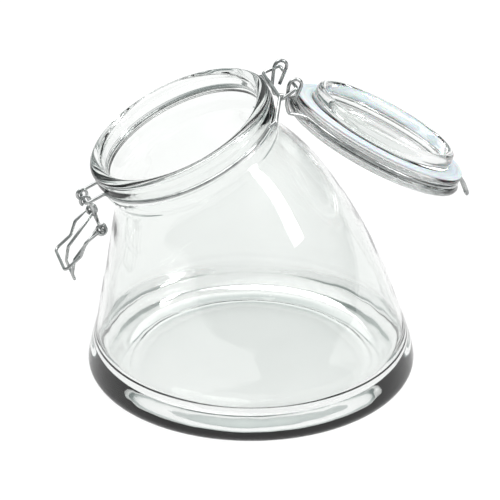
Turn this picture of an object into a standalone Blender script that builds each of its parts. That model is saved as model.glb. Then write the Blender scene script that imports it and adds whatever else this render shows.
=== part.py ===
"""Bail clamp jar: a leaning glass storage jar with a wire-hinged glass lid and a wire clamp."""
import math

import bmesh
import bpy
from mathutils import Vector

# Lengths in metres. The jar stands on the ground plane and its mouth leans toward -X.
# The hinge is on the +X side.
BASE_X = -0.0098           # centre of the round base, so that the open jar is centred on the origin
MOUTH_X = BASE_X - 0.0429  # centre of the mouth
MOUTH_Z = 0.1575
TILT = math.radians(24.5)  # lean of the mouth

GROOVE_Z = -0.0122         # neck wire groove, below the rim
NECK_WIRE_R = 0.0533       # centre line of the neck wire
BASE_R = 0.0962
HEEL_R = 0.0075
WALL = 0.0035
BODY_RADII = (0.0962, 0.0882, 0.0800, 0.0705, 0.0605, 0.0500)
NECK_END_Z = -0.0260       # where the leaning body starts under the neck
BODY_HANDLE_LOW = 0.046    # how far the body climbs upright before it leans over
BODY_HANDLE_TOP = 0.030
BODY_STEPS = 18
SEGMENTS = 48

HINGE_X = 0.0675           # hinge axis in the mouth frame
HINGE_Z = -0.0072
LID_OPEN = math.radians(233.0)

LID_WIRE_R = 0.0526
LID_WIRE_Z = 0.0067

WIRE = 0.0010              # radius of the neck and lid wires
THIN_WIRE = 0.0009         # radius of the clamp wires
WIRE_SIDES = 8
ARC_STEP = math.radians(7.5)

EAR_X = -0.0655            # cross bar of the ear, the lever turns on it
EAR_Z = -0.0122
EAR_Y = 0.0085
BAR_X = -0.0647            # cross bar of the lever, the link turns on it
BAR_Z = -0.0280
LEVER_Y = 0.0087           # half widths of the two loops
LINK_Y = 0.0140


def clear_scene():
    for obj in list(bpy.data.objects):
        bpy.data.objects.remove(obj, do_unlink=True)


def to_world(point):
    """Mouth frame (x toward the hinge, y along the hinge, z out of the mouth) to world."""
    x, y, z = point
    c = math.cos(TILT)
    s = math.sin(TILT)
    return Vector((MOUTH_X + x * c - z * s, y, MOUTH_Z + x * s + z * c))


def to_open(point):
    """A point of the closed lid, in the mouth frame, moved to where the open lid has it."""
    x = point[0] - HINGE_X
    z = point[2] - HINGE_Z
    c = math.cos(LID_OPEN)
    s = math.sin(LID_OPEN)
    return to_world((HINGE_X + x * c + z * s, point[1], HINGE_Z - x * s + z * c))


def make_material(name, color, roughness, metallic, clear=0.0):
    mat = bpy.data.materials.new(name)
    mat.use_nodes = True
    shader = mat.node_tree.nodes["Principled BSDF"]
    shader.inputs["Base Color"].default_value = (*color, 1.0)
    shader.inputs["Roughness"].default_value = roughness
    shader.inputs["Metallic"].default_value = metallic
    shader.inputs["Transmission Weight"].default_value = clear
    return mat


def add_object(name, bm, mat, pivot):
    """Close the bmesh into a named object whose origin sits on the pivot."""
    bmesh.ops.recalc_face_normals(bm, faces=bm.faces)
    bmesh.ops.translate(bm, verts=bm.verts, vec=-pivot)
    mesh = bpy.data.meshes.new(name)
    bm.to_mesh(mesh)
    bm.free()
    for face in mesh.polygons:
        face.use_smooth = True
    mesh.materials.append(mat)
    obj = bpy.data.objects.new(name, mesh)
    obj.location = pivot
    bpy.context.scene.collection.objects.link(obj)
    return obj


def skin(rings, first_point, last_point):
    """Join rings of world points into one closed surface, capped by a point at either end."""
    bm = bmesh.new()
    rows = [[bm.verts.new(p) for p in ring] for ring in rings]
    count = len(rows[0])
    for low, high in zip(rows, rows[1:]):
        for i in range(count):
            j = (i + 1) % count
            bm.faces.new((low[i], low[j], high[j], high[i]))
    for row, tip in ((rows[0], first_point), (rows[-1], last_point)):
        middle = bm.verts.new(tip)
        for i in range(count):
            bm.faces.new((row[i], row[(i + 1) % count], middle))
    return bm


def loop_skin(rings):
    """Join rings into a closed doughnut-like surface."""
    bm = bmesh.new()
    rows = [[bm.verts.new(p) for p in ring] for ring in rings]
    count = len(rows[0])
    for k, low in enumerate(rows):
        high = rows[(k + 1) % len(rows)]
        for i in range(count):
            j = (i + 1) % count
            bm.faces.new((low[i], low[j], high[j], high[i]))
    return bm


def circle(radius, z, place):
    """One ring of a round piece, in the mouth frame, put in the world by `place`."""
    ring = []
    for i in range(SEGMENTS):
        angle = 2 * math.pi * i / SEGMENTS
        ring.append(place((radius * math.cos(angle), radius * math.sin(angle), z)))
    return ring


def base_circle(radius, z):
    ring = []
    for i in range(SEGMENTS):
        angle = 2 * math.pi * i / SEGMENTS
        ring.append(Vector((BASE_X + radius * math.cos(angle), radius * math.sin(angle), z)))
    return ring


def body_radius(t):
    """Smooth radius of the body between the base and the neck, through evenly spaced stations."""
    last = len(BODY_RADII) - 1
    k = min(int(t * last), last - 1)
    f = t * last - k
    a = BODY_RADII[max(k - 1, 0)]
    b = BODY_RADII[k]
    c = BODY_RADII[k + 1]
    d = BODY_RADII[min(k + 2, last)]
    return b + 0.5 * f * (c - a + f * (2 * a - 5 * b + 4 * c - d + f * (3 * (b - c) + d - a)))


def body_circle(t, inset):
    """A section of the leaning body: upright over the base, square to the mouth at the neck."""
    start = Vector((BASE_X, 0, HEEL_R))
    end = to_world((0, 0, NECK_END_Z))
    up = to_world((0, 0, 1)) - to_world((0, 0, 0))
    p1 = start + Vector((0, 0, BODY_HANDLE_LOW))
    p2 = end - up * BODY_HANDLE_TOP
    u = 1 - t
    centre = start * u ** 3 + p1 * 3 * u * u * t + p2 * 3 * u * t * t + end * t ** 3
    lean = TILT * t * t * (3 - 2 * t)
    radius = body_radius(t) - inset
    ring = []
    for i in range(SEGMENTS):
        angle = 2 * math.pi * i / SEGMENTS
        side = radius * math.cos(angle)
        ring.append(centre + Vector((side * math.cos(lean), radius * math.sin(angle), side * math.sin(lean))))
    return ring


def build_jar(mat):
    rings = []
    # pushed-up underside, flat bearing ring, heel
    for radius, z in ((0.045, 0.0062), (0.062, 0.0042), (0.072, 0.0012), (0.078, 0.0), (0.0882, 0.0)):
        rings.append(base_circle(radius, z))
    for k in range(1, 5):
        angle = math.pi / 2 * k / 5
        rings.append(base_circle(BASE_R - HEEL_R * (1 - math.sin(angle)), HEEL_R * (1 - math.cos(angle))))
    for k in range(BODY_STEPS + 1):
        rings.append(body_circle(k / BODY_STEPS, 0.0))
    # collar, wire groove, plain band, rounded rim
    outside = ((0.0516, -0.0235), (0.0532, -0.0205), (0.0538, -0.0170), (0.0536, -0.0140), (0.0519, -0.0136),
               (0.0519, -0.0108), (0.0546, -0.0104), (0.0550, -0.0095), (0.0550, -0.0062), (0.0544, -0.0052),
               (0.0550, -0.0042), (0.0549, -0.0022), (0.0538, -0.0008), (0.0520, 0.0), (0.0498, 0.0),
               (0.0482, -0.0008), (0.0476, -0.0022), (0.0474, -0.0100), (0.0468, -0.0180))
    for radius, z in outside:
        rings.append(circle(radius, z, to_world))
    # inside of the body, rounded into the thick floor
    for k in range(BODY_STEPS, 2, -1):
        rings.append(body_circle(k / BODY_STEPS, WALL))
    for radius, z in ((0.0890, 0.0225), (0.0862, 0.0160), (0.0810, 0.0115), (0.0740, 0.0092),
                      (0.0600, 0.0098), (0.0400, 0.0120)):
        rings.append(base_circle(radius, z))
    bm = skin(rings, Vector((BASE_X, 0, 0.0068)), Vector((BASE_X, 0, 0.0135)))
    return add_object("jar_body", bm, mat, Vector((BASE_X, 0, 0)))


def build_lid_glass(mat):
    # from the middle of the underside outward: recess, plug, flange, wire groove, disc, raised top
    outline = ((0.0300, 0.0022), (0.0365, 0.0014), (0.0385, -0.0060), (0.0398, -0.0076), (0.0418, -0.0080),
               (0.0436, -0.0072), (0.0442, -0.0054), (0.0442, 0.0027), (0.0532, 0.0027), (0.0536, 0.0033),
               (0.0536, 0.0049), (0.0532, 0.0053), (0.0512, 0.0053), (0.0512, 0.0081), (0.0544, 0.0081),
               (0.0550, 0.0088), (0.0548, 0.0108), (0.0530, 0.0126), (0.0480, 0.0140), (0.0440, 0.0143),
               (0.0400, 0.0132))
    rings = [circle(radius, z, to_open) for radius, z in outline]
    bm = skin(rings, to_open((0, 0, 0.0026)), to_open((0, 0, 0.0122)))
    return add_object("lid_glass", bm, mat, to_open((HINGE_X, 0, HINGE_Z)))


def build_gasket(mat):
    outline = ((0.0446, 0.0003), (0.0446, 0.0023), (0.0528, 0.0023), (0.0533, 0.0016), (0.0533, 0.0010),
               (0.0526, 0.0003))
    bm = loop_skin([circle(radius, z, to_open) for radius, z in outline])
    return add_object("gasket", bm, mat, to_open((HINGE_X, 0, HINGE_Z)))


def rounded(points, radius):
    """Replace every inner corner of a path by an arc, as a wire bends."""
    path = [Vector(points[0])]
    for before, corner, after in zip(points, points[1:], points[2:]):
        corner = Vector(corner)
        a = Vector(before) - corner
        b = Vector(after) - corner
        turn = math.pi - a.angle(b)
        if turn < 0.05:
            path.append(corner)
            continue
        bend = min(radius, 0.45 * min(a.length, b.length) / math.tan(turn / 2))
        cut = bend * math.tan(turn / 2)
        start = corner + a.normalized() * cut
        end = corner + b.normalized() * cut
        middle = corner + (a.normalized() + b.normalized()).normalized() * (bend / math.cos(turn / 2))
        steps = max(2, round(turn / 0.45))
        for k in range(steps + 1):
            spoke = (start - middle).normalized().slerp((end - middle).normalized(), k / steps)
            path.append(middle + spoke * bend)
    path.append(Vector(points[-1]))
    return path


def tube(path, radius):
    """Sweep a round section along a path of world points, flat ends, no twist."""
    rings = []
    side = None
    for k, point in enumerate(path):
        ahead = (path[min(k + 1, len(path) - 1)] - point).normalized() if k + 1 < len(path) else Vector()
        behind = (point - path[k - 1]).normalized() if k else Vector()
        along = (ahead + behind).normalized()
        if side is None:
            side = along.orthogonal().normalized()
        side = (side - along * side.dot(along)).normalized()
        other = along.cross(side)
        stretch = 1.0
        if k and k + 1 < len(path):
            stretch = 1.0 / max(0.7, math.cos(ahead.angle(behind) / 2))
        ring = []
        for i in range(WIRE_SIDES):
            angle = 2 * math.pi * (i + 0.5) / WIRE_SIDES
            ring.append(point + (side * math.cos(angle) + other * math.sin(angle)) * radius * stretch)
        rings.append(ring)
    return skin(rings, path[0], path[-1])


def arc_points(radius, z, first, last):
    """Points of a circle round the mouth axis, every 7.5 degrees."""
    steps = max(1, round(abs(last - first) / ARC_STEP))
    points = []
    for k in range(steps + 1):
        angle = first + (last - first) * k / steps
        points.append((radius * math.cos(angle), radius * math.sin(angle), z))
    return points


def mirror(points):
    return [(x, -y, z) for x, y, z in reversed(points)]


def neck_half(level):
    """Half of the neck wire: groove, climb to the cross bar at `level` on the far side, arm and hinge pin."""
    groove = arc_points(NECK_WIRE_R, GROOVE_Z, math.radians(-165.0), math.radians(-37.5))
    back = [(0.0478, -0.0308, GROOVE_Z), (0.0565, -0.0195, level), (0.0570, 0.0, level),
            (0.0570, 0.0173, level), (HINGE_X, 0.0173, HINGE_Z), (HINGE_X, 0.0105, HINGE_Z)]
    return groove, back


def build_neck_wire(mat):
    groove, back = neck_half(-0.0062)
    groove_b, back_b = neck_half(-0.0090)
    bend = 0.0022
    ear = [(-0.0536, -EAR_Y, EAR_Z), (EAR_X, -EAR_Y, EAR_Z), (EAR_X, EAR_Y, EAR_Z), (-0.0536, EAR_Y, EAR_Z)]
    near = rounded(groove[-2:] + back, bend)[1:]
    far = rounded(groove_b[-2:] + back_b, bend)[1:]
    middle = rounded([groove[1]] + ear + [mirror([groove_b[1]])[0]], bend)[1:-1]
    path = [Vector(p) for p in reversed(near)]
    path += [Vector(p) for p in reversed(groove[1:-1])]
    path += middle
    path += [Vector((p[0], -p[1], p[2])) for p in groove_b[1:-1]]
    path += [Vector((p[0], -p[1], p[2])) for p in far]
    world = [to_world(p) for p in path]
    return add_object("neck_wire", tube(world, WIRE), mat, to_world((0, 0, GROOVE_Z)))


def lid_hook():
    """One hinge hook of the lid wire, from its free end to the groove, for the +Y side."""
    y = 0.0145
    flat = [(0.0634, 0.0020), (0.0645, -0.0085)]
    for k in range(1, 8):
        angle = math.radians(205.0 + 180.0 * k / 8 - 5.0)
        flat.append((0.0678 + 0.0037 * math.cos(angle), -0.0076 + 0.0037 * math.sin(angle)))
    flat += [(0.0713, -0.0058), (0.0670, 0.0045), (0.0635, 0.0084), (0.0600, 0.0078), (0.0560, 0.0067)]
    return [(x, y, z) for x, z in flat]


def build_lid_wire(mat):
    hook = lid_hook()
    groove = arc_points(LID_WIRE_R, LID_WIRE_Z, math.radians(22.5), math.radians(172.5))
    half = [Vector(p) for p in hook]
    half += rounded([hook[-1], (0.0520, 0.0145, LID_WIRE_Z), groove[0], groove[1]], 0.0022)[1:-1]
    half += [Vector(p) for p in groove[1:-1]]
    tongue = [groove[-2], groove[-1], (-0.0580, 0.0028, 0.0067), (-0.0640, 0.0027, 0.0102),
              (-0.0690, 0.0026, 0.0150)]
    half += rounded(tongue, 0.0022)[1:-1]
    half += [Vector((-0.0690, 0.0024, 0.0145)), Vector((-0.0697, 0.0013, 0.0156))]
    path = half + [Vector((p[0], -p[1], p[2])) for p in reversed(half)]
    world = [to_open(p) for p in path]
    return add_object("lid_wire", tube(world, WIRE), mat, to_open((HINGE_X, 0, HINGE_Z)))


def coil(x, z, radius, start, turn, y_start, y_end):
    """A helix round an axis along Y; angles in degrees from +X toward +Z."""
    steps = max(2, round(abs(turn) / 30.0))
    points = []
    for k in range(steps + 1):
        f = k / steps
        angle = math.radians(start + turn * f)
        y = y_start + (y_end - y_start) * f
        points.append((x + radius * math.cos(angle), y, z + radius * math.sin(angle)))
    return points


def eye_hook():
    """Hook of the lever over the ear's cross bar, and its leg down to the lever's own cross bar, +Y side."""
    hook = coil(EAR_X + 0.0005, EAR_Z, 0.0028, 215.0, -265.0, 0.0044, 0.0044)
    return hook + [(-0.0632, 0.0044, -0.0200), (BAR_X, 0.0044, BAR_Z)]


def weld(target, tool):
    """Join `tool` to `target` as a welded wire; the tool itself stays as a hidden guide."""
    tool.hide_render = True
    tool.display_type = "WIRE"
    join = target.modifiers.new("weld_" + tool.name, "BOOLEAN")
    join.operation = "UNION"
    join.solver = "EXACT"
    join.object = tool


def build_lever(mat):
    """Lever: straight cross bar with the narrow handle loop and two ear hooks welded to it."""
    pivot = to_world((EAR_X, 0, EAR_Z))
    ends = [to_world((BAR_X, -0.0176, BAR_Z)), to_world((BAR_X, 0.0176, BAR_Z))]
    handle = [(BAR_X, LEVER_Y, BAR_Z), (-0.0864, LEVER_Y, -0.0394), (-0.0913, LEVER_Y, -0.0466),
              (-0.0918, 0.0082, -0.0512)]
    handle = rounded(handle + mirror(handle), 0.0030)
    lever = add_object("latch_lever", tube(ends, THIN_WIRE), mat, pivot)
    hook = rounded(eye_hook(), 0.0030)
    pieces = (("lever_handle", handle), ("lever_hook_far", hook),
              ("lever_hook_near", [Vector((p[0], -p[1], p[2])) for p in hook]))
    for name, path in pieces:
        weld(lever, add_object(name, tube([to_world(p) for p in path], THIN_WIRE), mat, pivot))


def build_link(mat):
    """Link: wide bail with stepped legs, each end a coil round the lever's cross bar."""
    turns = coil(BAR_X, BAR_Z, 0.0025, 30.0, -570.0, 0.0112, 0.0157)
    leg = [(-0.0762, 0.0146, -0.0304), (-0.0822, LINK_Y, -0.0366), (-0.0938, LINK_Y, -0.0398)]
    half = [Vector(p) for p in turns]
    half += rounded([turns[-1]] + leg + [(-0.0938, 0.0, -0.0398)], 0.0030)[1:-1]
    path = half + [Vector((p[0], -p[1], p[2])) for p in reversed(half)]
    add_object("latch_link", tube([to_world(p) for p in path], THIN_WIRE), mat, to_world((BAR_X, 0, BAR_Z)))


def build_all():
    clear_scene()
    glass = make_material("clear_glass", (0.93, 0.96, 0.95), 0.02, 0.0, 1.0)
    rubber = make_material("white_rubber", (0.85, 0.90, 0.92), 0.35, 0.0, 0.3)
    steel = make_material("bright_wire", (0.72, 0.73, 0.72), 0.18, 1.0)
    build_jar(glass)
    build_lid_glass(glass)
    build_gasket(rubber)
    build_neck_wire(steel)
    build_lid_wire(steel)
    build_lever(steel)
    build_link(steel)


build_all()
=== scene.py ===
"""Looks of the bail clamp jar: smooth moulded glass, translucent rubber seal, bright bent wire."""
import math

import bmesh
import bpy
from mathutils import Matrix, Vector


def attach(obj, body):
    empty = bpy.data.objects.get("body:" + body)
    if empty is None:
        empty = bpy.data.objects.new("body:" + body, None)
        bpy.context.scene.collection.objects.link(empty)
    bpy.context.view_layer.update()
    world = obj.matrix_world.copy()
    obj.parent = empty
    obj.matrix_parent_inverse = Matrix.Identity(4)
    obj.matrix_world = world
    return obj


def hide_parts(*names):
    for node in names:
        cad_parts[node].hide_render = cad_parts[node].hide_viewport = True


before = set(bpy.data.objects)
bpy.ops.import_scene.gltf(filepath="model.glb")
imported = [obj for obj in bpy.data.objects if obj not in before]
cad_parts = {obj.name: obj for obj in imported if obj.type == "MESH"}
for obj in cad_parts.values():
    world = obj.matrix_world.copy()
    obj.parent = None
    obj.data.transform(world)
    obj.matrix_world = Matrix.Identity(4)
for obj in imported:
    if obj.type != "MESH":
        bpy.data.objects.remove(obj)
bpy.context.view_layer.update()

# Lengths in metres, the same sizes as the CAD solids that these pieces stand for.
BASE_X = -0.0098
MOUTH_X = BASE_X - 0.0429
MOUTH_Z = 0.1575
TILT = math.radians(24.5)

GROOVE_Z = -0.0122
NECK_WIRE_R = 0.0533
BASE_R = 0.0962
HEEL_R = 0.0075
WALL = 0.0035
BODY_RADII = (0.0962, 0.0882, 0.0800, 0.0705, 0.0605, 0.0500)
NECK_END_Z = -0.0260
BODY_HANDLE_LOW = 0.046
BODY_HANDLE_TOP = 0.030
BODY_STEPS = 24
SEGMENTS = 64

HINGE_X = 0.0675
HINGE_Z = -0.0072
LID_OPEN = math.radians(233.0)
LID_WIRE_R = 0.0526
LID_WIRE_Z = 0.0067

WIRE = 0.0010
THIN_WIRE = 0.0009
WIRE_SIDES = 20
ARC_STEP = math.radians(2.5)
BEND_STEP = 0.16
COIL_STEP = 12.0

EAR_X = -0.0655
EAR_Z = -0.0122
EAR_Y = 0.0085
BAR_X = -0.0647
BAR_Z = -0.0280
LEVER_Y = 0.0087
LINK_Y = 0.0140

CAMERA_AZIMUTH = math.radians(-15.6)
CAMERA_ELEVATION = math.radians(26.6)
CAMERA_DISTANCE = 1.295
CAMERA_TARGET = Vector((BASE_X - 0.0006, 0.0, 0.0737))
CAMERA_LENS = 161.5

# Room light by direction: height from level (0) to straight up (1), side toward +X, depth toward +Y.
# A direction pointing the other way takes the first colour of its row.
ROOM_BY_HEIGHT = ((0.0, (0.16, 0.20, 0.195)), (0.22, (0.24, 0.28, 0.275)), (0.45, (0.50, 0.54, 0.53)),
                  (0.75, (1.0, 1.0, 1.0)))
ROOM_BY_SIDE = ((0.0, (0.85, 0.85, 0.85)), (0.35, (1.0, 1.0, 1.0)), (0.75, (0.80, 0.80, 0.80)))
ROOM_BY_DEPTH = ((0.10, (1.0, 1.0, 1.0)), (0.60, (1.5, 1.5, 1.5)))
FLOOR_GLOW = 0.96

# Sockets of the colour mix node.
MIX_FACTOR = 0
MIX_A = 6
MIX_B = 7
MIX_RESULT = 2


def to_world(point):
    """Mouth frame (x toward the hinge, y along the hinge, z out of the mouth) to world."""
    x, y, z = point
    c = math.cos(TILT)
    s = math.sin(TILT)
    return Vector((MOUTH_X + x * c - z * s, y, MOUTH_Z + x * s + z * c))


def to_open(point):
    """A point of the closed lid, in the mouth frame, moved to where the open lid has it."""
    x = point[0] - HINGE_X
    z = point[2] - HINGE_Z
    c = math.cos(LID_OPEN)
    s = math.sin(LID_OPEN)
    return to_world((HINGE_X + x * c + z * s, point[1], HINGE_Z - x * s + z * c))


# Outlines as (radius, height). The base is measured from the floor, the rest from the mouth plane.
BASE_UNDERSIDE = ((0.020, 0.0067), (0.045, 0.0062), (0.062, 0.0042), (0.072, 0.0012), (0.078, 0.0001),
                  (0.083, 0.0001), (0.0882, 0.0001))
NECK_OUTLINE = ((0.0516, -0.0235), (0.0532, -0.0205), (0.0538, -0.0170), (0.0536, -0.0140),
                (0.0519, -0.0136), (0.0519, -0.0108), (0.0546, -0.0104), (0.0550, -0.0095),
                (0.0550, -0.0062), (0.0544, -0.0052), (0.0550, -0.0042), (0.0549, -0.0022),
                (0.0538, -0.0008), (0.0520, 0.0), (0.0498, 0.0), (0.0482, -0.0008),
                (0.0476, -0.0022), (0.0474, -0.0100), (0.0468, -0.0180))
INNER_FLOOR = ((0.0890, 0.0225), (0.0862, 0.0160), (0.0810, 0.0115), (0.0740, 0.0092),
               (0.0600, 0.0098), (0.0400, 0.0120), (0.0200, 0.0132))
UNDERSIDE_CENTRE_Z = 0.0068
INNER_FLOOR_CENTRE_Z = 0.0135
HEEL_STEPS = 5
FIRST_INNER_STEP = 4
LID_OUTLINE = ((0.0150, 0.0025), (0.0300, 0.0022), (0.0365, 0.0014), (0.0385, -0.0060), (0.0398, -0.0076),
               (0.0418, -0.0080), (0.0436, -0.0072), (0.0442, -0.0054), (0.0442, 0.0025), (0.0444, 0.0027),
               (0.0532, 0.0027), (0.0536, 0.0033), (0.0536, 0.0049), (0.0532, 0.0053), (0.0512, 0.0053),
               (0.0512, 0.0081), (0.0544, 0.0081), (0.0550, 0.0088), (0.0548, 0.0108), (0.0530, 0.0126),
               (0.0480, 0.0140), (0.0440, 0.0143), (0.0400, 0.0132), (0.0200, 0.0124))
LID_UNDER_CENTRE_Z = 0.0026
LID_TOP_CENTRE_Z = 0.0122
GASKET_OUTLINE = ((0.0446, 0.0004), (0.0446, 0.0013), (0.0446, 0.0022), (0.0470, 0.0023), (0.0500, 0.0023),
                  (0.0528, 0.0022), (0.0533, 0.0016), (0.0533, 0.0010), (0.0526, 0.0003), (0.0500, 0.0004),
                  (0.0490, 0.0009), (0.0480, 0.0004))
GLASS_SUBDIVISIONS = 2

# Bends of the wires: inside the thick wires and inside the clamp's thin ones.
THICK_BEND = 0.0022
THIN_BEND = 0.0030
LOWER_BAR_Z = -0.0090
UPPER_BAR_Z = -0.0062


# ---------------------------------------------------------------- materials


def new_material(name):
    mat = bpy.data.materials.new(name)
    mat.use_nodes = True
    return mat, mat.node_tree.nodes, mat.node_tree.links, mat.node_tree.nodes["Principled BSDF"]


def object_noise(nodes, links, scale, detail, stretch=(1.0, 1.0, 1.0)):
    """Noise fixed to the object, drawn out along an axis where stretch is below 1."""
    coords = nodes.new("ShaderNodeTexCoord")
    mapping = nodes.new("ShaderNodeMapping")
    mapping.inputs["Scale"].default_value = stretch
    noise = nodes.new("ShaderNodeTexNoise")
    noise.inputs["Scale"].default_value = scale
    noise.inputs["Detail"].default_value = detail
    links.new(coords.outputs["Object"], mapping.inputs["Vector"])
    links.new(mapping.outputs["Vector"], noise.inputs["Vector"])
    return noise


def add_bump(nodes, links, height, shader, strength, distance):
    bump = nodes.new("ShaderNodeBump")
    bump.inputs["Strength"].default_value = strength
    bump.inputs["Distance"].default_value = distance
    links.new(height, bump.inputs["Height"])
    links.new(bump.outputs["Normal"], shader.inputs["Normal"])


def ramp(nodes, links, value, stops):
    node = nodes.new("ShaderNodeValToRGB")
    elements = node.color_ramp.elements
    while len(elements) < len(stops):
        elements.new(0.5)
    for element, (place, color) in zip(elements, stops):
        element.position = place
        element.color = (*color, 1.0)
    links.new(value, node.inputs["Fac"])
    return node


def glass_material(name, tint, wave):
    """Clear pressed glass: faint grey-green, slightly wavy, a little softer where the mould was cooler."""
    mat, nodes, links, shader = new_material(name)
    shader.inputs["Transmission Weight"].default_value = 1.0
    shader.inputs["IOR"].default_value = 1.49
    broad = object_noise(nodes, links, 22.0, 2.0)
    deep = tuple(channel * 0.985 for channel in tint)
    color = ramp(nodes, links, broad.outputs["Fac"], ((0.35, deep), (0.65, tint)))
    links.new(color.outputs["Color"], shader.inputs["Base Color"])
    rough = nodes.new("ShaderNodeMapRange")
    rough.inputs["To Min"].default_value = 0.0
    rough.inputs["To Max"].default_value = 0.03
    links.new(broad.outputs["Fac"], rough.inputs["Value"])
    links.new(rough.outputs["Result"], shader.inputs["Roughness"])
    add_bump(nodes, links, broad.outputs["Fac"], shader, 0.35, wave)
    return mat


def rubber_material():
    """Translucent white seal rubber with a fine satin grain."""
    mat, nodes, links, shader = new_material("white_rubber_soft")
    shader.inputs["Transmission Weight"].default_value = 0.25
    shader.inputs["IOR"].default_value = 1.42
    shader.inputs["Subsurface Weight"].default_value = 0.4
    shader.inputs["Subsurface Scale"].default_value = 0.004
    patch = object_noise(nodes, links, 60.0, 3.0)
    color = ramp(nodes, links, patch.outputs["Fac"], ((0.3, (0.66, 0.73, 0.77)), (0.7, (0.74, 0.80, 0.83))))
    links.new(color.outputs["Color"], shader.inputs["Base Color"])
    grain = object_noise(nodes, links, 1400.0, 2.0)
    rough = nodes.new("ShaderNodeMapRange")
    rough.inputs["To Min"].default_value = 0.30
    rough.inputs["To Max"].default_value = 0.48
    links.new(grain.outputs["Fac"], rough.inputs["Value"])
    links.new(rough.outputs["Result"], shader.inputs["Roughness"])
    add_bump(nodes, links, grain.outputs["Fac"], shader, 0.25, 0.0002)
    return mat


def wire_material():
    """Bright drawn steel wire: fine scratches and slight dulling."""
    mat, nodes, links, shader = new_material("bright_wire_drawn")
    shader.inputs["Metallic"].default_value = 1.0
    patch = object_noise(nodes, links, 180.0, 4.0)
    color = ramp(nodes, links, patch.outputs["Fac"], ((0.3, (0.26, 0.27, 0.27)), (0.7, (0.52, 0.53, 0.525))))
    links.new(color.outputs["Color"], shader.inputs["Base Color"])
    scratch = object_noise(nodes, links, 1800.0, 3.0, (1.0, 0.3, 1.0))
    rough = nodes.new("ShaderNodeMapRange")
    rough.inputs["To Min"].default_value = 0.10
    rough.inputs["To Max"].default_value = 0.26
    links.new(scratch.outputs["Fac"], rough.inputs["Value"])
    links.new(rough.outputs["Result"], shader.inputs["Roughness"])
    add_bump(nodes, links, scratch.outputs["Fac"], shader, 0.15, 0.0001)
    return mat


# ---------------------------------------------------------------- mesh helpers


def finish_piece(name, bm, mat, node, body, levels=0):
    """Turn a bmesh into a smooth piece that stands for one CAD node and rides on its body."""
    bmesh.ops.recalc_face_normals(bm, faces=bm.faces)
    mesh = bpy.data.meshes.new(name)
    bm.to_mesh(mesh)
    bm.free()
    for face in mesh.polygons:
        face.use_smooth = True
    mesh.materials.append(mat)
    obj = bpy.data.objects.new(name, mesh)
    bpy.context.scene.collection.objects.link(obj)
    if levels:
        smooth = obj.modifiers.new("smooth", "SUBSURF")
        smooth.levels = levels
        smooth.render_levels = levels
    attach(obj, body)
    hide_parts(node)
    return obj


def add_skin(bm, rings, first_point, last_point):
    """Join rings of world points into one closed surface, capped by a point at either end."""
    rows = [[bm.verts.new(p) for p in ring] for ring in rings]
    count = len(rows[0])
    for low, high in zip(rows, rows[1:]):
        for i in range(count):
            j = (i + 1) % count
            bm.faces.new((low[i], low[j], high[j], high[i]))
    for row, tip in ((rows[0], first_point), (rows[-1], last_point)):
        middle = bm.verts.new(tip)
        for i in range(count):
            bm.faces.new((row[i], row[(i + 1) % count], middle))


def add_loop_skin(bm, rings):
    """Join rings into a closed doughnut-like surface."""
    rows = [[bm.verts.new(p) for p in ring] for ring in rings]
    count = len(rows[0])
    for k, low in enumerate(rows):
        high = rows[(k + 1) % len(rows)]
        for i in range(count):
            j = (i + 1) % count
            bm.faces.new((low[i], low[j], high[j], high[i]))


def circle(radius, z, place):
    ring = []
    for i in range(SEGMENTS):
        angle = 2 * math.pi * i / SEGMENTS
        ring.append(place((radius * math.cos(angle), radius * math.sin(angle), z)))
    return ring


def base_circle(radius, z):
    ring = []
    for i in range(SEGMENTS):
        angle = 2 * math.pi * i / SEGMENTS
        ring.append(Vector((BASE_X + radius * math.cos(angle), radius * math.sin(angle), z)))
    return ring


# ---------------------------------------------------------------- glass


def body_radius(t):
    """Smooth radius of the body between the base and the neck, through evenly spaced stations."""
    last = len(BODY_RADII) - 1
    k = min(int(t * last), last - 1)
    f = t * last - k
    a = BODY_RADII[max(k - 1, 0)]
    b = BODY_RADII[k]
    c = BODY_RADII[k + 1]
    d = BODY_RADII[min(k + 2, last)]
    return b + 0.5 * f * (c - a + f * (2 * a - 5 * b + 4 * c - d + f * (3 * (b - c) + d - a)))


def body_circle(t, inset):
    """A section of the leaning body: upright over the base, square to the mouth at the neck."""
    start = Vector((BASE_X, 0, HEEL_R))
    end = to_world((0, 0, NECK_END_Z))
    up = to_world((0, 0, 1)) - to_world((0, 0, 0))
    p1 = start + Vector((0, 0, BODY_HANDLE_LOW))
    p2 = end - up * BODY_HANDLE_TOP
    u = 1 - t
    centre = start * u ** 3 + p1 * 3 * u * u * t + p2 * 3 * u * t * t + end * t ** 3
    lean = TILT * t * t * (3 - 2 * t)
    radius = body_radius(t) - inset
    ring = []
    for i in range(SEGMENTS):
        angle = 2 * math.pi * i / SEGMENTS
        side = radius * math.cos(angle)
        ring.append(centre + Vector((side * math.cos(lean), radius * math.sin(angle), side * math.sin(lean))))
    return ring


def build_jar(mat):
    rings = [base_circle(radius, z) for radius, z in BASE_UNDERSIDE]
    for k in range(1, HEEL_STEPS):
        angle = math.pi / 2 * k / HEEL_STEPS
        rings.append(base_circle(BASE_R - HEEL_R * (1 - math.sin(angle)), HEEL_R * (1 - math.cos(angle))))
    for k in range(BODY_STEPS + 1):
        rings.append(body_circle(k / BODY_STEPS, 0.0))
    rings += [circle(radius, z, to_world) for radius, z in NECK_OUTLINE]
    for k in range(BODY_STEPS, FIRST_INNER_STEP - 1, -1):
        rings.append(body_circle(k / BODY_STEPS, WALL))
    rings += [base_circle(radius, z) for radius, z in INNER_FLOOR]
    bm = bmesh.new()
    add_skin(bm, rings, Vector((BASE_X, 0, UNDERSIDE_CENTRE_Z)), Vector((BASE_X, 0, INNER_FLOOR_CENTRE_Z)))
    return finish_piece("jar_body_moulded", bm, mat, "jar_body", "jar", GLASS_SUBDIVISIONS)


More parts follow.
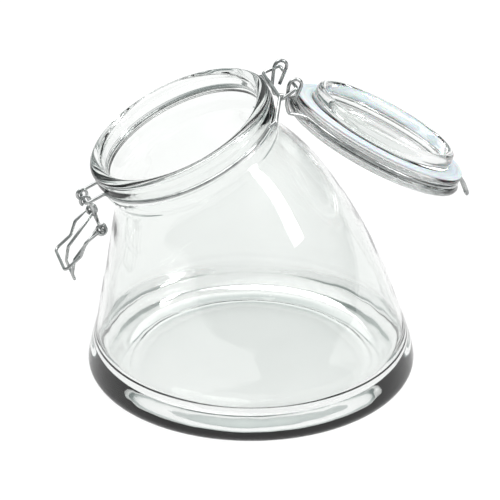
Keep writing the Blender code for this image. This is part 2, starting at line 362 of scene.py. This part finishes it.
def build_lid_glass(mat):
    bm = bmesh.new()
    rings = [circle(radius, z, to_open) for radius, z in LID_OUTLINE]
    add_skin(bm, rings, to_open((0, 0, LID_UNDER_CENTRE_Z)), to_open((0, 0, LID_TOP_CENTRE_Z)))
    return finish_piece("lid_glass_pressed", bm, mat, "lid_glass", "lid", GLASS_SUBDIVISIONS)


def build_gasket(mat):
    bm = bmesh.new()
    add_loop_skin(bm, [circle(radius, z, to_open) for radius, z in GASKET_OUTLINE])
    return finish_piece("gasket_rubber", bm, mat, "gasket", "lid", GLASS_SUBDIVISIONS)


# ---------------------------------------------------------------- wires


def rounded(points, radius):
    """Replace every inner corner of a path by an arc, as a wire bends."""
    path = [Vector(points[0])]
    for before, corner, after in zip(points, points[1:], points[2:]):
        corner = Vector(corner)
        a = Vector(before) - corner
        b = Vector(after) - corner
        turn = math.pi - a.angle(b)
        if turn < 0.05:
            path.append(corner)
            continue
        bend = min(radius, 0.45 * min(a.length, b.length) / math.tan(turn / 2))
        cut = bend * math.tan(turn / 2)
        start = corner + a.normalized() * cut
        end = corner + b.normalized() * cut
        middle = corner + (a.normalized() + b.normalized()).normalized() * (bend / math.cos(turn / 2))
        steps = max(2, round(turn / BEND_STEP))
        for k in range(steps + 1):
            spoke = (start - middle).normalized().slerp((end - middle).normalized(), k / steps)
            path.append(middle + spoke * bend)
    path.append(Vector(points[-1]))
    return path


def add_tube(bm, path, radius):
    """Sweep a round section along a path of world points, flat ends, no twist."""
    rings = []
    side = None
    for k, point in enumerate(path):
        ahead = (path[min(k + 1, len(path) - 1)] - point).normalized() if k + 1 < len(path) else Vector()
        behind = (point - path[k - 1]).normalized() if k else Vector()
        along = (ahead + behind).normalized()
        if side is None:
            side = along.orthogonal().normalized()
        side = (side - along * side.dot(along)).normalized()
        other = along.cross(side)
        ring = []
        for i in range(WIRE_SIDES):
            angle = 2 * math.pi * (i + 0.5) / WIRE_SIDES
            ring.append(point + (side * math.cos(angle) + other * math.sin(angle)) * radius)
        rings.append(ring)
    add_skin(bm, rings, path[0], path[-1])


def arc_points(radius, z, first, last):
    steps = max(1, round(abs(last - first) / ARC_STEP))
    points = []
    for k in range(steps + 1):
        angle = first + (last - first) * k / steps
        points.append((radius * math.cos(angle), radius * math.sin(angle), z))
    return points


def mirror(points):
    return [(x, -y, z) for x, y, z in reversed(points)]


def other_side(points):
    return [Vector((p[0], -p[1], p[2])) for p in points]


def neck_back(level):
    """Back of the neck wire: climb to the cross bar at `level`, arm and inward hinge pin."""
    return [(0.0478, -0.0308, GROOVE_Z), (0.0565, -0.0195, level), (0.0570, 0.0, level),
            (0.0570, 0.0173, level), (HINGE_X, 0.0173, HINGE_Z), (HINGE_X, 0.0105, HINGE_Z)]


def build_neck_wire(mat):
    """Groove on both sides, ear at the front, and one bar above the other at the back."""
    groove = arc_points(NECK_WIRE_R, GROOVE_Z, math.radians(-165.0), math.radians(-37.5))
    ear = [(-0.0536, -EAR_Y, EAR_Z), (EAR_X, -EAR_Y, EAR_Z), (EAR_X, EAR_Y, EAR_Z), (-0.0536, EAR_Y, EAR_Z)]
    near = rounded(groove[-2:] + neck_back(UPPER_BAR_Z), THICK_BEND)[1:]
    far = rounded(groove[-2:] + neck_back(LOWER_BAR_Z), THICK_BEND)[1:]
    middle = rounded([groove[1]] + ear + mirror([groove[1]]), THICK_BEND)[1:-1]
    path = list(reversed(near)) + [Vector(p) for p in reversed(groove[1:-1])] + middle
    path += other_side(groove[1:-1]) + other_side(far)
    bm = bmesh.new()
    add_tube(bm, [to_world(p) for p in path], WIRE)
    return finish_piece("neck_wire_bright", bm, mat, "neck_wire", "jar")


def lid_hook():
    """One hinge hook of the lid wire, from its free end to the groove, for the +Y side."""
    y = 0.0145
    flat = [(0.0634, 0.0020), (0.0645, -0.0085)]
    for k in range(1, 8):
        angle = math.radians(205.0 + 180.0 * k / 8 - 5.0)
        flat.append((0.0678 + 0.0037 * math.cos(angle), -0.0076 + 0.0037 * math.sin(angle)))
    flat += [(0.0713, -0.0058), (0.0670, 0.0045), (0.0635, 0.0084), (0.0600, 0.0078), (0.0560, 0.0067)]
    return [(x, y, z) for x, z in flat]


def build_lid_wire(mat):
    hook = lid_hook()
    groove = arc_points(LID_WIRE_R, LID_WIRE_Z, math.radians(22.5), math.radians(172.5))
    half = rounded(hook + [(0.0520, 0.0145, LID_WIRE_Z), groove[0], groove[1]], THICK_BEND)[:-1]
    half += [Vector(p) for p in groove[1:-1]]
    tongue = [groove[-2], groove[-1], (-0.0580, 0.0028, 0.0067), (-0.0640, 0.0027, 0.0102),
              (-0.0690, 0.0026, 0.0150)]
    half += rounded(tongue, THICK_BEND)[1:-1]
    half += [Vector((-0.0690, 0.0024, 0.0145)), Vector((-0.0697, 0.0013, 0.0156))]
    path = half + list(reversed(other_side(half)))
    bm = bmesh.new()
    add_tube(bm, [to_open(p) for p in path], WIRE)
    return finish_piece("lid_wire_bright", bm, mat, "lid_wire", "lid")


def coil(x, z, radius, start, turn, y_start, y_end):
    """A helix round an axis along Y; angles in degrees from +X toward +Z."""
    steps = max(2, round(abs(turn) / COIL_STEP))
    points = []
    for k in range(steps + 1):
        f = k / steps
        angle = math.radians(start + turn * f)
        y = y_start + (y_end - y_start) * f
        points.append((x + radius * math.cos(angle), y, z + radius * math.sin(angle)))
    return points


def build_lever(mat):
    """Cross bar with the narrow handle loop and two ear hooks welded to it."""
    bar = [Vector((BAR_X, -0.0176, BAR_Z)), Vector((BAR_X, 0.0176, BAR_Z))]
    handle = [(BAR_X, LEVER_Y, BAR_Z), (-0.0864, LEVER_Y, -0.0394), (-0.0913, LEVER_Y, -0.0466),
              (-0.0918, 0.0082, -0.0512)]
    handle = rounded(handle + mirror(handle), THIN_BEND)
    hook = coil(EAR_X + 0.0005, EAR_Z, 0.0028, 215.0, -265.0, 0.0044, 0.0044)
    hook = rounded(hook + [(-0.0632, 0.0044, -0.0200), (BAR_X, 0.0044, BAR_Z)], THIN_BEND)
    bm = bmesh.new()
    for path in (bar, handle, hook, other_side(hook)):
        add_tube(bm, [to_world(p) for p in path], THIN_WIRE)
    return finish_piece("latch_lever_bright", bm, mat, "latch_lever", "lever")


def build_link(mat):
    """Wide bail with stepped legs, each end a coil round the lever's cross bar."""
    turns = coil(BAR_X, BAR_Z, 0.0025, 30.0, -570.0, 0.0112, 0.0157)
    leg = [(-0.0762, 0.0146, -0.0304), (-0.0822, LINK_Y, -0.0366), (-0.0938, LINK_Y, -0.0398)]
    half = [Vector(p) for p in turns]
    half += rounded([turns[-1]] + leg + [(-0.0938, 0.0, -0.0398)], THIN_BEND)[1:-1]
    path = half + list(reversed(other_side(half)))
    bm = bmesh.new()
    add_tube(bm, [to_world(p) for p in path], THIN_WIRE)
    return finish_piece("latch_link_bright", bm, mat, "latch_link", "link")


# ---------------------------------------------------------------- studio


def build_floor():
    """Plain white sweep under the jar."""
    bm = bmesh.new()
    bmesh.ops.create_grid(bm, x_segments=8, y_segments=8, size=6.0)
    mesh = bpy.data.meshes.new("studio_floor")
    bm.to_mesh(mesh)
    bm.free()
    mat, nodes, links, shader = new_material("floor_white")
    mottle = object_noise(nodes, links, 3.0, 2.0)
    color = ramp(nodes, links, mottle.outputs["Fac"], ((0.3, (0.07, 0.07, 0.07)), (0.7, (0.09, 0.09, 0.09))))
    links.new(color.outputs["Color"], shader.inputs["Base Color"])
    shader.inputs["Roughness"].default_value = 0.9
    shader.inputs["Specular IOR Level"].default_value = 0.1
    shader.inputs["Emission Color"].default_value = (1.0, 1.0, 1.0, 1.0)
    shader.inputs["Emission Strength"].default_value = FLOOR_GLOW
    mesh.materials.append(mat)
    floor = bpy.data.objects.new("studio_floor", mesh)
    floor.location = (0.0, 0.0, -0.0005)
    bpy.context.scene.collection.objects.link(floor)


def build_world():
    """Soft studio room: dim grey-green near level, bright overhead, a little brighter behind the jar."""
    world = bpy.data.worlds.new("studio")
    bpy.context.scene.world = world
    world.use_nodes = True
    nodes = world.node_tree.nodes
    links = world.node_tree.links
    background = nodes["Background"]
    coords = nodes.new("ShaderNodeTexCoord")
    split = nodes.new("ShaderNodeSeparateXYZ")
    links.new(coords.outputs["Generated"], split.inputs["Vector"])
    height = ramp(nodes, links, split.outputs["Z"], ROOM_BY_HEIGHT)
    side = ramp(nodes, links, split.outputs["X"], ROOM_BY_SIDE)
    depth = ramp(nodes, links, split.outputs["Y"], ROOM_BY_DEPTH)
    color = height.outputs["Color"]
    for factor in (side, depth):
        mix = nodes.new("ShaderNodeMix")
        mix.data_type = "RGBA"
        mix.blend_type = "MULTIPLY"
        mix.inputs[MIX_FACTOR].default_value = 1.0
        links.new(color, mix.inputs[MIX_A])
        links.new(factor.outputs["Color"], mix.inputs[MIX_B])
        color = mix.outputs[MIX_RESULT]
    links.new(color, background.inputs["Color"])
    background.inputs["Strength"].default_value = 1.0


def add_area_light(name, place, aim, size, power):
    data = bpy.data.lights.new(name, "AREA")
    data.shape = "RECTANGLE"
    data.size = size[0]
    data.size_y = size[1]
    data.energy = power
    light = bpy.data.objects.new(name, data)
    light.location = place
    light.rotation_euler = (Vector(aim) - Vector(place)).to_track_quat("-Z", "Y").to_euler()
    bpy.context.scene.collection.objects.link(light)


def build_camera():
    back = Vector((math.sin(CAMERA_AZIMUTH) * math.cos(CAMERA_ELEVATION),
                   -math.cos(CAMERA_AZIMUTH) * math.cos(CAMERA_ELEVATION), math.sin(CAMERA_ELEVATION)))
    data = bpy.data.cameras.new("camera")
    data.lens = CAMERA_LENS
    data.sensor_width = 36.0
    data.clip_start = 0.05
    data.clip_end = 50.0
    camera = bpy.data.objects.new("camera", data)
    camera.location = CAMERA_TARGET + back * CAMERA_DISTANCE
    camera.rotation_euler = (-back).to_track_quat("-Z", "Y").to_euler()
    bpy.context.scene.collection.objects.link(camera)
    bpy.context.scene.camera = camera


jar_glass = glass_material("clear_glass_jar", (0.918, 0.934, 0.923), 0.0012)
lid_glass = glass_material("clear_glass_lid", (0.930, 0.944, 0.935), 0.0006)
bright_wire = wire_material()
build_jar(jar_glass)
build_lid_glass(lid_glass)
build_gasket(rubber_material())
build_neck_wire(bright_wire)
build_lid_wire(bright_wire)
build_lever(bright_wire)
build_link(bright_wire)
build_floor()
build_world()
add_area_light("window_right", (0.9, -0.7, 0.9), (0.0, 0.0, 0.08), (0.30, 0.9), 11.0)
add_area_light("soft_top", (-0.3, 0.3, 1.3), (0.0, 0.0, 0.05), (1.0, 1.0), 12.0)
build_camera()
bpy.context.scene.view_settings.view_transform = "Standard"
